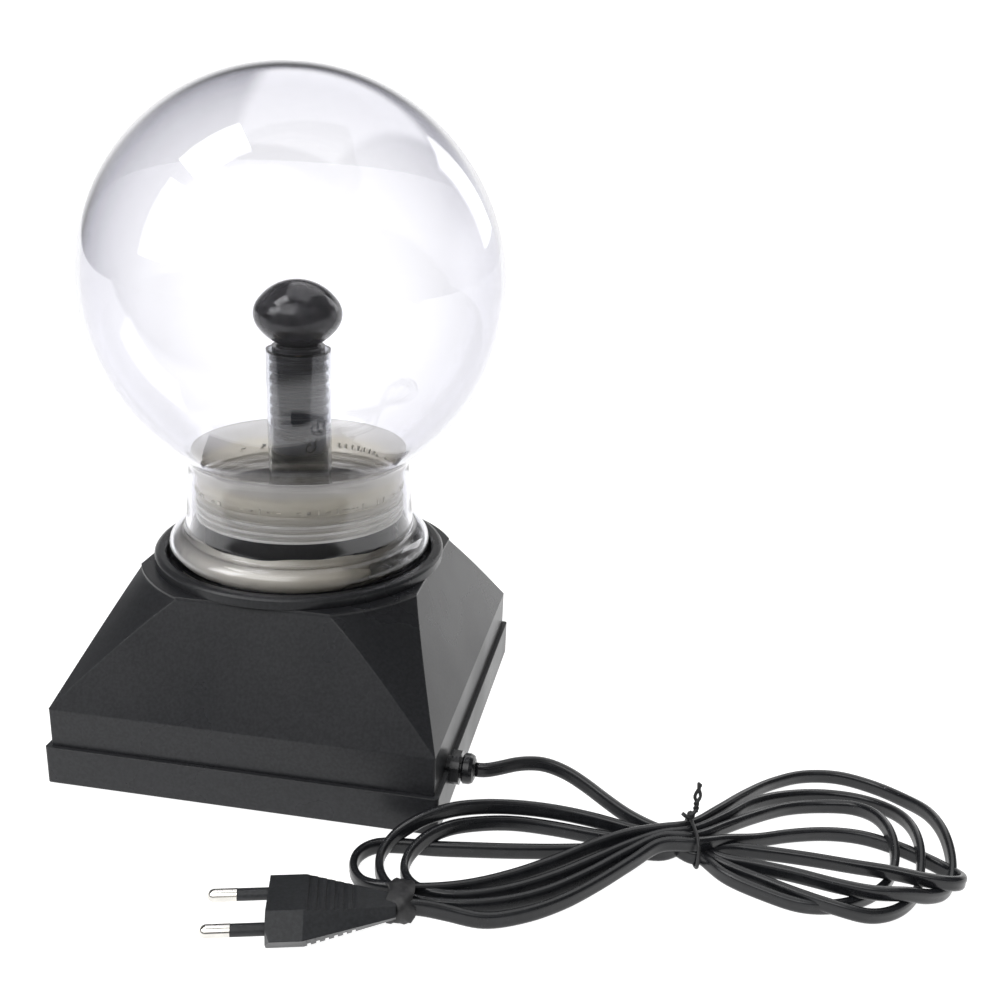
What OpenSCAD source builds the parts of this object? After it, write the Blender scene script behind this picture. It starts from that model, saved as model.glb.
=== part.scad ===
// Plasma ball: glass globe with an electrode on a tapered square base, slide switch at the back, mains cord.
// Millimetres. Origin: bottom of the rubber feet, under the globe's axis. +Z up, front face -Y, back +Y.

/* [Base] */
// outside width of the square tray
base_width = 143; // [120:1:180]
// gap between the tray's underside and the floor
foot_gap = 0.8; // [0.4:0.1:2]
// height of the seam between tray and housing
seam_z = 15; // [10:0.5:20]
// how far the housing's band is set in from the tray's edge
band_inset = 1.8; // [0.5:0.1:3]
// top of the housing's vertical band
band_top = 29.5; // [20:0.5:40]
// top of the sloping sides
slope_top = 69; // [50:1:80]
// height of the flat deck that carries the globe
deck_z = 70; // [52:0.5:82]
// height of the floor of the well the globe stands in
well_z = 66.5; // [50:0.5:80]
// radius of the round deck
deck_r = 59.5; // [50:0.5:66]
// half width of the deck where the four faces cut it
deck_half = 52.5; // [45:0.5:60]
// moulding wall thickness
wall = 2.2; // [1.6:0.1:3]

/* [Globe] */
// outside diameter of the globe
globe_d = 150; // [120:1:200]
// height of the globe's centre
globe_z = 173; // [140:1:220]
// glass thickness
glass = 1.8; // [1.2:0.1:3]
// outside radius of the neck at its foot
neck_r = 42.8; // [36:0.1:50]
// height of the rolled foot's centre
foot_z = 75.8; // [70:0.1:84]
// outside radius of the rolled foot's tube
foot_r = 6; // [4:0.1:8]

/* [Electrode] */
// outside radius of the electrode's glass tube
tube_r = 11.8; // [8:0.1:16]
// top of the glass tube
tube_top = 149.5; // [130:1:170]
// height of the ball's centre
ball_z = 162.3; // [140:0.1:185]
// pitch of the core's ribs
rib_pitch = 4.1; // [3:0.1:6]

/* [Switch] */
// height of the switch
switch_z = 22.2; // [20:0.1:25]
// travel of the slider to each side
switch_travel = 3; // [2:0.5:4]

/* [Cord] */
// width of the flat cord
cord_w = 5.2; // [4:0.1:7]
// thickness of the flat cord
cord_t = 3.2; // [2:0.1:4]
// height of the cord gland
gland_z = 14.2; // [12:0.1:18]
// front-to-back position of the cord gland
gland_y = -49; // [-55:1:-30]

/* [Hidden] */
$fn = 64;
h = base_width / 2;
b = h - band_inset;
R = globe_d / 2;
gap = 0.05;
screw_at = [[-59, -40], [59, -36], [-59, 40], [59, 40]];
foot_at = [[-58, -58], [58, -58], [-58, 58], [58, 58]];
board_at = [[-46, -36], [46, -36], [-46, 36], [46, 36]];
board_z = 8;
pcb = board_z + 1.6;

// cord from the gland to the tied hank
lead_pts = [[80, -49, 14.2], [83, -49, 14.2], [88, -47, 14.7], [95, -42.9, 15], [103, -40, 14.2], [111, -40.5, 12.4],
  [119, -43.5, 10], [127, -48, 7.6], [135, -52, 6], [142, -55, 5.4], [149, -58, 5.2]];

module black() color([0.06, 0.06, 0.065]) children();

// straight round rod from p to q
module rod(p, q, r) {
  d = q - p;
  l = norm(d);
  translate(p) rotate([0, acos(d[2] / l), atan2(d[1], d[0])]) cylinder(h = l, r = r, $fn = 24);
}
function dir(p, i) = let (a = p[max(i - 1, 0)], c = p[min(i + 1, len(p) - 1)]) (c - a) / norm(c - a);
function ring(p, t, ref, w, d) = let (c = cross(t, ref), s = c / norm(c), v = cross(s, t))
  [for (k = [0 : 9]) p + s * (d / 2 * cos(36 * k)) + v * (w / 2 * sin(36 * k))];
// ten-sided tube through points, w across the reference direction and d thick
module tube(pts, w, d, ref) {
  n = len(pts);
  polyhedron(
    points = [for (i = [0 : n - 1]) for (q = ring(pts[i], dir(pts, i), ref, w, d)) q],
    faces = concat(
      [[for (k = [0 : 9]) k]],
      [for (i = [0 : n - 2]) for (k = [0 : 9]) let (m = (k + 1) % 10) [i * 10 + k, (i + 1) * 10 + k, (i + 1) * 10 + m]],
      [for (i = [0 : n - 2]) for (k = [0 : 9]) let (m = (k + 1) % 10) [i * 10 + k, (i + 1) * 10 + m, i * 10 + m]],
      [[for (k = [9 : -1 : 0]) (n - 1) * 10 + k]]));
}
// square prism with small round corners
module plate(half, z0, z1, r) {
  translate([0, 0, z0]) linear_extrude(height = z1 - z0) {
    square([2 * (half - r), 2 * half], center = true);
    square([2 * half, 2 * (half - r)], center = true);
    for (x = [-1, 1], y = [-1, 1]) translate([x * (half - r), y * (half - r)]) circle(r = r, $fn = 32);
  }
}
module box(x0, x1, y0, y1, z0, z1) translate([x0, y0, z0]) cube([x1 - x0, y1 - y0, z1 - z0]);

// square foot rising through flat faces and conical corners to a round deck
module loft(h0, z0, h1, r1, z1) {
  intersection() {
    rotate([90, 0, 0]) linear_extrude(height = 4 * h0, center = true)
      polygon([[-h0, z0], [h0, z0], [h1, z1], [-h1, z1]]);
    rotate([90, 0, 90]) linear_extrude(height = 4 * h0, center = true)
      polygon([[-h0, z0], [h0, z0], [h1, z1], [-h1, z1]]);
    translate([0, 0, z0]) cylinder(h = z1 - z0, r1 = h0 * sqrt(2), r2 = r1, $fn = 96);
  }
}
module deck_shape(half, r, z0, z1) intersection() {
  translate([0, 0, z0]) cylinder(h = z1 - z0, r = r, $fn = 96);
  box(-half, half, -half, half, z0 - 1, z1 + 1);
}

module globe() color([0.9, 0.93, 0.95, 0.3]) {
  difference() {
    union() {
      translate([0, 0, globe_z]) sphere(r = R, $fn = 96);
      translate([0, 0, foot_z + 4]) cylinder(h = 34, r1 = neck_r, r2 = 41, $fn = 96);
      difference() {
        translate([0, 0, foot_z]) rotate_extrude($fn = 96) translate([neck_r + 0.4, 0]) circle(r = foot_r, $fn = 32);
        translate([0, 0, foot_z - 12]) cylinder(h = 12, r = neck_r + 0.4 - foot_r + glass, $fn = 96);
      }
    }
    translate([0, 0, globe_z]) sphere(r = R - glass, $fn = 96);
    translate([0, 0, foot_z - 8]) cylinder(h = 48, r1 = neck_r - glass + 0.2, r2 = 39.1, $fn = 96);
    translate([0, 0, foot_z]) rotate_extrude($fn = 96) translate([neck_r + 0.4, 0]) circle(r = foot_r - glass, $fn = 32);
    translate([0, 0, foot_z - 12]) cylinder(h = 12 - 4, r = 60);
    translate([0, 0, foot_z - 12]) cylinder(h = 12, r = neck_r + 0.2, $fn = 96);
  }
}
module seal_ring() color([0.86, 0.84, 0.78]) {
  difference() {
    union() {
      translate([0, 0, foot_z]) rotate_extrude($fn = 96)
        translate([neck_r + 0.4, 0]) circle(r = foot_r - glass - gap, $fn = 32);
      translate([0, 0, well_z]) cylinder(h = foot_z - 4.05 - well_z, r = 45, $fn = 96);
    }
    translate([0, 0, well_z - 1]) cylinder(h = 30, r = neck_r - 1.2, $fn = 96);
  }
}
module collar_ring() black() difference() {
  translate([0, 0, deck_z]) rotate_extrude($fn = 96)
    polygon([[50, 0], [54.6, 0], [54.6, 3], [54, 3.8], [53, 4.2], [51, 4.2], [50, 3.4]]);
  translate([0, 0, deck_z - 1]) cylinder(h = 10, r = 49.9, $fn = 96);
}
module housing() black() difference() {
  union() {
    plate(b, seam_z, band_top, 0.6);
    loft(b, band_top, deck_half, deck_r, slope_top);
    deck_shape(deck_half, deck_r, slope_top, deck_z);
    translate([0, 0, well_z - 3]) cylinder(h = 91 - well_z, r = 36);
  }
  difference() {
    union() {
      plate(b - wall, seam_z - 1, band_top, 0.5);
      loft(b - wall, band_top, deck_half - 0.3, deck_r + 2.3, well_z - 3);
    }
    for (p = screw_at) translate([p[0], p[1], seam_z]) cylinder(h = 24, r = 4.2, $fn = 32);
  }
  for (p = screw_at) translate([p[0], p[1], seam_z - 1]) cylinder(h = 14.2, r = 1.55, $fn = 24);
  translate([0, 0, 50]) cylinder(h = 50, r = 33);
  difference() {
    translate([0, 0, well_z]) cylinder(h = 10, r = 49.9, $fn = 96);
    cylinder(h = 120, r = 36);
  }
  // slot and screw holes of the switch
  box(-5.9, 5.9, b - wall - 1, b + 1, switch_z - 2.9, switch_z + 2.9);
  for (x = [-10, 10]) translate([x, b + 1, switch_z]) rotate([90, 0, 0]) cylinder(h = 4, r = 1.3, $fn = 24);
  gland_hole();
}
module gland_hole() translate([b - 6, gland_y, gland_z]) rotate([0, 90, 0]) cylinder(h = 12, r = 3.9, $fn = 32);

module base_tray() black() difference() {
  union() {
    difference() {
      plate(h, foot_gap, seam_z, 1.2);
      plate(h - wall, foot_gap + 2.4, seam_z + 1, 1);
    }
    for (p = screw_at) translate([p[0], p[1], 2]) cylinder(h = seam_z - 2.1, r = 4.6, $fn = 32);
    for (p = board_at) translate([p[0], p[1], 2]) cylinder(h = board_z - 2, r = 3.4, $fn = 32);
  }
  for (p = screw_at) translate([p[0], p[1], 0]) {
    cylinder(h = seam_z + 1, r = 1.7, $fn = 24);
    cylinder(h = 4.6, r = 3.4, $fn = 24);
  }
  for (p = board_at) translate([p[0], p[1], 3.4]) cylinder(h = 6, r = 1.25, $fn = 24);
  for (p = foot_at) translate([p[0], p[1], 0]) cylinder(h = 2, r = 6.1);
  gland_hole();
}
module housing_screws() color([0.6, 0.6, 0.62]) for (p = screw_at) translate([p[0], p[1], 0]) difference() {
  union() {
    translate([0, 0, 2.4]) cylinder(h = 2.1, r = 3.1, $fn = 24);
    translate([0, 0, 4.4]) cylinder(h = 22, r = 1.5, $fn = 24);
  }
  box(-1.8, 1.8, -0.4, 0.4, 2, 3.4);
  box(-0.4, 0.4, -1.8, 1.8, 2, 3.4);
}
module rubber_feet() color([0.1, 0.1, 0.1]) for (p = foot_at) translate([p[0], p[1], 0]) cylinder(h = 1.95, r = 6);

// electrode: flattened ball on a glass tube with a ribbed core
module electrode_ball() color([0.13, 0.13, 0.14]) translate([0, 0, ball_z]) difference() {
  union() {
    rotate_extrude($fn = 64) translate([8, 0]) circle(r = 8, $fn = 32);
    intersection() {
      translate([0, 0, -5.29]) sphere(r = 17.59, $fn = 96);
      translate([0, 0, 5.29]) sphere(r = 17.59, $fn = 96);
      cylinder(h = 26, r = 14.67, center = true);
    }
  }
  translate([0, 0, -14]) cylinder(h = 3, r = 14);
}
module electrode_collar() color([0.16, 0.16, 0.17]) difference() {
  union() {
    translate([0, 0, tube_top]) cylinder(h = 1.4, r = 9.6);
    translate([0, 0, tube_top + 1]) cylinder(h = ball_z - 11 - tube_top - 1, r = 8.2);
  }
  translate([0, 0, tube_top - 1]) cylinder(h = 8, r = 1.7, $fn = 24);
}
module electrode_tube() color([0.9, 0.93, 0.95, 0.3]) difference() {
  translate([0, 0, 93.5]) cylinder(h = tube_top - 93.5, r = tube_r);
  translate([0, 0, 90]) cylinder(h = tube_top - 91, r = tube_r - 1);
  translate([0, 0, 90]) cylinder(h = 70, r = 1.7, $fn = 24);
}
module electrode_core() color([0.2, 0.2, 0.22]) difference() {
  union() {
    translate([0, 0, 111.5]) cylinder(h = 36.8, r = 9.8);
    for (i = [0 : 6]) translate([0, 0, 122.3 + i * rib_pitch]) rotate_extrude()
      polygon([[9, -1.3], [10, -1.3], [10.7, -0.7], [10.7, 0.7], [10, 1.3], [9, 1.3]]);
  }
  translate([0, 0, 100]) cylinder(h = 60, r = 1.7, $fn = 24);
}
module core_base() color([0.1, 0.1, 0.11]) difference() {
  translate([0, 0, 94]) cylinder(h = 17.4, r = 10.6);
  translate([0, 0, 90]) cylinder(h = 30, r = 1.7, $fn = 24);
}
module electrode_contact() color([0.72, 0.6, 0.35]) translate([0, 0, 84]) cylinder(h = ball_z - 11 - 84, r = 1.6, $fn = 24);
module neck_insert() color([0.85, 0.86, 0.84, 0.5]) translate([0, 0, 88]) rotate_extrude($fn = 96)
  polygon([[24, 0.05], [37.2, 0.05], [37.8, 0.6], [37.8, 1.4], [36.8, 2.2], [38, 3], [38, 4.4], [37.3, 5],
    [38.4, 6.2], [38.4, 8.6], [37.8, 9.4], [38.9, 10.4], [38.9, 19.4], [38.5, 20], [37.9, 19.6], [36, 13],
    [34.2, 10], [31.6, 9.4], [30, 4.4], [24, 4.4]]);
module neck_floor() color([0.42, 0.42, 0.42]) translate([0, 0, 92.45]) difference() {
  cylinder(h = 1, r = 29.8);
  translate([0, 0, -1]) cylinder(h = 3, r = 2.6, $fn = 24);
}

// electronics
module circuit_board() color([0.62, 0.5, 0.26]) difference() {
  box(-52, 52, -42, 42, board_z, pcb);
  for (p = board_at) translate([p[0], p[1], 0]) cylinder(h = 20, r = 1.6, $fn = 24);
}
module board_screws() color([0.65, 0.65, 0.67]) for (p = board_at) translate([p[0], p[1], 0]) {
  translate([0, 0, 4]) cylinder(h = pcb - 4, r = 1.2, $fn = 24);
  translate([0, 0, pcb]) cylinder(h = 1.8, r = 2.7, $fn = 24);
}
module transformer_core() color([0.35, 0.35, 0.36]) translate([-26, 14, pcb]) difference() {
  box(-20, 20, -8, 8, 0, 33);
  for (x = [-1, 1]) translate([x * 10, 0, 16.5]) cube([7, 20, 20], center = true);
}
module transformer_winding() color([0.7, 0.55, 0.2]) translate([-26, 14, pcb + 16.5]) difference() {
  cube([26.8, 28, 19.8], center = true);
  cube([13.1, 16.1, 22], center = true);
}
module flyback_core() color([0.18, 0.18, 0.19]) translate([26, 16, pcb]) difference() {
  box(-18, 18, -5, 5, 0, 34);
  translate([0, 0, 17]) cube([18, 12, 17], center = true);
}
module flyback_secondary() color([0.12, 0.12, 0.13]) translate([12.5, 16, pcb + 8.6]) difference() {
  cylinder(h = 16.8, r = 12);
  translate([0, 0, 8]) cube([9.1, 10.1, 20], center = true);
}
module flyback_primary() color([0.72, 0.42, 0.2]) translate([39.5, 16, pcb + 8.6]) difference() {
  cylinder(h = 16.8, r = 8);
  translate([0, 0, 8]) cube([9.1, 10.1, 20], center = true);
}
module heatsink() color([0.7, 0.7, 0.72]) difference() {
  union() {
    box(14, 44, -27, -24.4, pcb, pcb + 26);
    for (x = [14, 20.8, 27.6, 34.4, 41.4]) box(x, x + 2.6, -33, -26.9, pcb, pcb + 26);
  }
  translate([26, -20, pcb + 20]) rotate([90, 0, 0]) cylinder(h = 20, r = 1.55, $fn = 24);
}
module power_transistor() color([0.1, 0.1, 0.1]) difference() {
  union() {
    box(21, 31, -24.35, -20, pcb + 3, pcb + 12.4);
    box(21, 31, -24.35, -23, pcb + 3, pcb + 23);
    for (x = [-2.54, 0, 2.54]) box(26 + x - 0.4, 26 + x + 0.4, -22.4, -21.8, pcb, pcb + 3.2);
  }
  translate([26, -15, pcb + 20]) rotate([90, 0, 0]) cylinder(h = 20, r = 1.6, $fn = 24);
}
module transistor_screw() color([0.65, 0.65, 0.67]) translate([26, -23, pcb + 20]) rotate([90, 0, 0]) {
  translate([0, 0, -2]) cylinder(h = 2, r = 2.8, $fn = 24);
  cylinder(h = 3.9, r = 1.45, $fn = 24);
}
module electrolytics() color([0.1, 0.12, 0.2]) {
  for (x = [-38, -22]) translate([x, -20, pcb]) cylinder(h = 22, r = 6.5, $fn = 32);
  for (x = [-6, 6]) translate([x, -32, pcb]) cylinder(h = 12, r = 4, $fn = 32);
}
module film_capacitor() color([0.65, 0.2, 0.12]) box(-8, 8, -22, -15, pcb, pcb + 12);
module resistors() color([0.75, 0.65, 0.45]) for (i = [0 : 5]) translate([-10 + i * 5, -6, pcb + 1.4])
  rotate([90, 0, 0]) cylinder(h = 7, r = 1.3, center = true, $fn = 24);
module diodes() color([0.08, 0.08, 0.08]) for (i = [0 : 3]) translate([-46 + i * 5, -6, pcb + 1.5])
  rotate([90, 0, 0]) cylinder(h = 5.2, r = 1.4, center = true, $fn = 24);
module controller_chip() color([0.09, 0.09, 0.09]) {
  box(24, 34, -6, 0.4, pcb + 0.6, pcb + 4);
  for (x = [25.2, 27.7, 30.3, 32.8], y = [-6.6, 0.4]) box(x - 0.3, x + 0.3, y, y + 0.6, pcb, pcb + 2.4);
}
module microphone() color([0.7, 0.7, 0.7]) difference() {
  translate([46, -20, pcb]) cylinder(h = 5, r = 4.8, $fn = 32);
  translate([46, -20, pcb + 4.4]) cylinder(h = 3, r = 1, $fn = 24);
}
module fuse() color([0.85, 0.88, 0.88, 0.5]) translate([-39, 34, pcb + 5]) rotate([0, 90, 0]) cylinder(h = 20, r = 2.6, $fn = 32);
module fuse_clips() color([0.75, 0.72, 0.6]) for (x = [-38, -25]) difference() {
  box(x, x + 5, 30.6, 37.4, pcb, pcb + 7);
  translate([x - 1, 34, pcb + 5]) rotate([0, 90, 0]) cylinder(h = 8, r = 2.65, $fn = 32);
  box(x - 1, x + 6, 32.6, 35.4, pcb + 5, pcb + 9);
}
module high_voltage_lead() color([0.6, 0.12, 0.1]) tube([[12.5, 7, pcb + 25.5], [12.5, 7, 42], [12, 6.5, 52],
  [10, 5.4, 60], [6, 3, 68], [2.4, 1, 74], [0.4, 0, 79], [0, 0, 83.9]], 3.6, 3.6, [1, 0.4, 0]);
module mains_leads() color([0.3, 0.22, 0.16]) {
  tube([[67.2, gland_y - 1.4, gland_z], [62.6, gland_y - 1.4, gland_z], [58, -49.5, 16.4], [54.4, -46.2, 19.4],
    [52.6, -41, 21.4], [52.4, -32, 22], [52.4, 0, 22], [52.4, 34, 22], [50, 45, 22], [44, 51.5, 22], [30, 54.5, 22],
    [12, 53.5, 22], [7, 55, 22], [7, 57.8, 22]], 2.2, 2.2, [0, 0, 1]);
  tube([[67.2, gland_y + 1.4, gland_z], [62.6, gland_y + 1.4, gland_z], [57.6, -46.4, 16.2], [52.4, -43.4, 19],
    [49.8, -39.6, 21.2], [49.3, -32, 22], [49.3, 0, 22], [49.3, 32, 22], [46.5, 42, 22], [40, 48, 22], [30, 51, 22],
    [12, 50, 22], [4, 51.8, 22], [2.5, 55, 22], [2.5, 57.8, 22]], 2.2, 2.2, [0, 0, 1]);
}
module switch_leads() color([0.16, 0.22, 0.4]) for (k = [0, 1])
  tube([[-3 - 4.5 * k, 57.8, 22], [-3 - 4.5 * k, 55, 22], [-7 - 4.5 * k, 51 + k, 21], [-14 - 4.5 * k, 46 + k, 17.5],
    [-19 - 4.5 * k, 41.5 + k, 14], [-20.5 - 4.5 * k, 39 + k, pcb + 2.4], [-20.5 - 4.5 * k, 39 + k, pcb + 0.05]],
    2.2, 2.2, [1, 0, 0]);

// three-position slide switch behind the back wall
module switch_flange() color([0.7, 0.7, 0.72]) difference() {
  box(-14, 14, b - wall - 0.95, b - wall - 0.05, switch_z - 5.5, switch_z + 5.5);
  box(-5.9, 5.9, 60, 70, switch_z - 2.9, switch_z + 2.9);
  for (x = [-10, 10]) translate([x, 70, switch_z]) rotate([90, 0, 0]) cylinder(h = 8, r = 1.3, $fn = 24);
}
module switch_body() black() difference() {
  box(-8.4, 8.4, 58, b - wall - 1, switch_z - 5, switch_z + 5);
  box(-5.9, 5.9, 61, 70, switch_z - 2.9, switch_z + 2.9);
}
module switch_screws() color([0.65, 0.65, 0.67]) for (x = [-10, 10]) translate([x, b, switch_z]) rotate([90, 0, 0]) {
  translate([0, 0, -1]) cylinder(h = 1, r = 2.4, $fn = 24);
  cylinder(h = wall + 2.4, r = 1.25, $fn = 24);
}
module switch_slider() color([0.08, 0.08, 0.085]) difference() {
  box(-2.5, 2.5, 61.5, b + 2.6, switch_z - 2.5, switch_z + 2.5);
  for (x = [-1.5, 0, 1.5]) box(x - 0.35, x + 0.35, b + 2.1, b + 3, switch_z - 3, switch_z + 3);
}

// cord gland, cord, hank, ties and plug
module strain_relief() color([0.05, 0.05, 0.05]) translate([0, gland_y, gland_z]) difference() {
  union() {
    translate([63, 0, 0]) rotate([0, 90, 0]) cylinder(h = 14, r = 3.8, $fn = 32);
    intersection() {
      translate([h + 0.1, 0, 0]) rotate([0, 90, 0]) cylinder(h = 3.2, r = 6, $fn = 32);
      box(60, 90, -5.4, 5.4, -5.4, 5.6);
    }
    rotate([0, 90, 0]) rotate_extrude($fn = 32)
      polygon([[0, h + 3.9], [4.6, h + 3.9], [5.4, h + 4.6], [5.4, h + 6.6], [4.8, h + 7.8], [3.4, h + 8.4], [0, h + 8.4]]);
  }
  box(60, 67.5, -2.6, 2.6, -1.6, 1.6);
}
module cord_lead() color([0.05, 0.05, 0.055]) tube(lead_pts, cord_w, cord_t, [0, 0, 1]);
// outline of the tied hank: a small lobe by the plug, a waist under the tie and a large lobe
function arc(c, r, a, e, n) = [for (i = [0 : n]) c + r * [cos(a + (e - a) * i / n), sin(a + (e - a) * i / n)]];
module cord_hank() color([0.05, 0.05, 0.055]) linear_extrude(height = 9.6) polygon(concat(
  arc([68, -97], 15.5, 106, 295, 14), [[159.5, -69.6]], arc([211, -50], 33, -104, 129, 20), [[154.5, -54.4]]));
module twist_tie() color([0.04, 0.04, 0.04]) {
  translate([157, -62, 0]) rotate([0, 0, 16]) {
    difference() {
      box(-1, 1, -9, 9, 0, 10.6);
      box(-2, 2, -8.3, 8.3, -1, 9.9);
    }
    rod([0, 3, 10.2], [0.6, 4.6, 15], 0.7);
    rod([0, 5.4, 10.2], [0.2, 4.6, 15], 0.7);
    rod([0.4, 4.6, 14.8], [0.2, 5.2, 21.5], 0.9);
  }
}
module plug_tie() color([0.04, 0.04, 0.04]) translate([69, -113, 0]) rotate([0, 0, 16]) difference() {
  box(-3.4, 3.4, -8, 8, 0.2, 11.6);
  box(-4, 4, -7.2, 7.2, 1, 10.8);
}
// flat two-pin plug of hexagonal section lying on its broad side, pins pointing forward and left
plug_at = [32, -127.5, 7.25];
plug_turn = 15.6;
plug_roll = -6.5;
hexagon = [[-9.6, -6.1], [9.6, -6.1], [16, 0], [9.6, 6.1], [-9.6, 6.1], [-16, 0]];
module on_plug() translate(plug_at) rotate([0, 0, plug_turn]) rotate([plug_roll, 0, 0]) children();
// tapering back of the plug, grown by g
module plug_back(g, x0, x1) {
  k0 = (1 - 0.64 * (x0 - 11) / 27) + g;
  k1 = (1 - 0.64 * (x1 - 11) / 27) + g;
  polyhedron(
    points = concat([for (q = hexagon) [x0, q[0] * k0, q[1] * k0]], [for (q = hexagon) [x1, q[0] * k1, q[1] * k1]]),
    faces = concat([[for (k = [0 : 5]) k]], [for (k = [0 : 5]) [k, 6 + k, 6 + (k + 1) % 6, (k + 1) % 6]],
      [[for (k = [5 : -1 : 0]) 6 + k]]));
}
module plug_body() color([0.05, 0.05, 0.055]) on_plug() difference() {
  union() {
    intersection() {
      rotate([90, 0, 90]) linear_extrude(height = 11) polygon(hexagon);
      translate([0, 0, -7]) linear_extrude(height = 14) polygon([[0, -13], [1.6, -16.2], [12, -16.2], [12, 16.2], [1.6, 16.2], [0, 13]]);
    }
    plug_back(0, 11, 38);
    translate([37, 0, 0]) rotate([0, 90, 0]) cylinder(h = 4, r = 2.15, $fn = 32);
  }
  for (x = [12, 14.6, 17.2, 19.8, 22.4, 25]) difference() {
    box(x, x + 1.1, -17, 17, -8, 8);
    plug_back(-0.05, 10, 39);
    box(x - 1, x + 3, -17, 17, 0, 5.75 - 0.144 * (x - 11));
  }
}
module plug_pins() color([0.78, 0.78, 0.8]) on_plug() for (s = [-1, 1]) translate([-19, s * 9.3, 0]) {
  translate([2, 0, 0]) rotate([0, 90, 0]) cylinder(h = 6.9, r = 2, $fn = 32);
  translate([2, 0, 0]) sphere(r = 2, $fn = 32);
}
module pin_sleeves() color([0.05, 0.05, 0.05]) on_plug() for (s = [-1, 1]) translate([-10.05, s * 9.3, 0])
  rotate([0, 90, 0]) cylinder(h = 10, r = 1.9, $fn = 32);

globe();
seal_ring();
collar_ring();
housing();
base_tray();
housing_screws();
rubber_feet();
electrode_ball();
electrode_collar();
electrode_tube();
electrode_core();
core_base();
electrode_contact();
neck_insert();
neck_floor();
circuit_board();
board_screws();
transformer_core();
transformer_winding();
flyback_core();
flyback_secondary();
flyback_primary();
heatsink();
power_transistor();
transistor_screw();
electrolytics();
film_capacitor();
resistors();
diodes();
controller_chip();
microphone();
fuse();
fuse_clips();
high_voltage_lead();
mains_leads();
switch_leads();
switch_body();
switch_flange();
switch_screws();
switch_slider();
strain_relief();
cord_lead();
cord_hank();
twist_tie();
plug_tie();
plug_body();
plug_pins();
pin_sleeves();
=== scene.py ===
"""Plasma ball on a tapered square base, with its tied mains cord. Units are metres, in the CAD part's frame."""
import math
import random

import bmesh
import bpy
import numpy as np
from mathutils import Matrix, Vector


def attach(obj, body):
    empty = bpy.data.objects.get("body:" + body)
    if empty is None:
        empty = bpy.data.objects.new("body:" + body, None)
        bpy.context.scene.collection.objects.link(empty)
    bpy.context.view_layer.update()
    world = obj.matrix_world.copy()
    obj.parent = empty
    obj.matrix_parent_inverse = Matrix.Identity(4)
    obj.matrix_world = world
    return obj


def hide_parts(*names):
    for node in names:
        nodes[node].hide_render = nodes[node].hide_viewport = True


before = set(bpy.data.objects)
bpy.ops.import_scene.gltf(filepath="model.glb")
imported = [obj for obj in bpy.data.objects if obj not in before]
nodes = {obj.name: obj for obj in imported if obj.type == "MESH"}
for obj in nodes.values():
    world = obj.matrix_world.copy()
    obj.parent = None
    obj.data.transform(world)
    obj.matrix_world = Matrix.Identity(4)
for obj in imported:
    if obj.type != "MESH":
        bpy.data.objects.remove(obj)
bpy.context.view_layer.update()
scene = bpy.context.scene
MM = 0.001

# ---------------------------------------------------------------- camera
AZIMUTH, ELEVATION, ROLL = 8.6, 19.54, 2.65  # degrees; azimuth 0 looks along +Y
DISTANCE, ASIDE, ABOVE = 0.472, 0.07725, 0.08926  # from the origin: back, to the right and up
az, el, roll = math.radians(AZIMUTH), math.radians(ELEVATION), math.radians(ROLL)
back = Vector((math.sin(az) * math.cos(el), -math.cos(az) * math.cos(el), math.sin(el)))
right = Vector((math.cos(az), math.sin(az), 0))
up = back.cross(right)
pos = back * DISTANCE + right * ASIDE + up * ABOVE
r_ax = right * math.cos(roll) + up * math.sin(roll)
u_ax = -right * math.sin(roll) + up * math.cos(roll)
cam_data = bpy.data.cameras.new("camera")
cam = bpy.data.objects.new("camera", cam_data)
scene.collection.objects.link(cam)
cam.matrix_world = Matrix(((r_ax.x, u_ax.x, back.x, pos.x), (r_ax.y, u_ax.y, back.y, pos.y),
                           (r_ax.z, u_ax.z, back.z, pos.z), (0, 0, 0, 1)))
cam_data.sensor_width = 36
cam_data.lens = 41.57
cam_data.shift_x, cam_data.shift_y = -0.0025, -0.0014
cam_data.clip_start = 0.01
scene.camera = cam


# ---------------------------------------------------------------- materials
def map_range(nt, value, lo, hi, to_lo, to_hi, smooth=False):
    """A Map Range node fed by value; returns its result socket."""
    mr = nt.nodes.new("ShaderNodeMapRange")
    if smooth:
        mr.interpolation_type = "SMOOTHSTEP"
    for key, v in (("From Min", lo), ("From Max", hi), ("To Min", to_lo), ("To Max", to_hi)):
        mr.inputs[key].default_value = v
    nt.links.new(value, mr.inputs["Value"])
    return mr.outputs["Result"]


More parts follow.
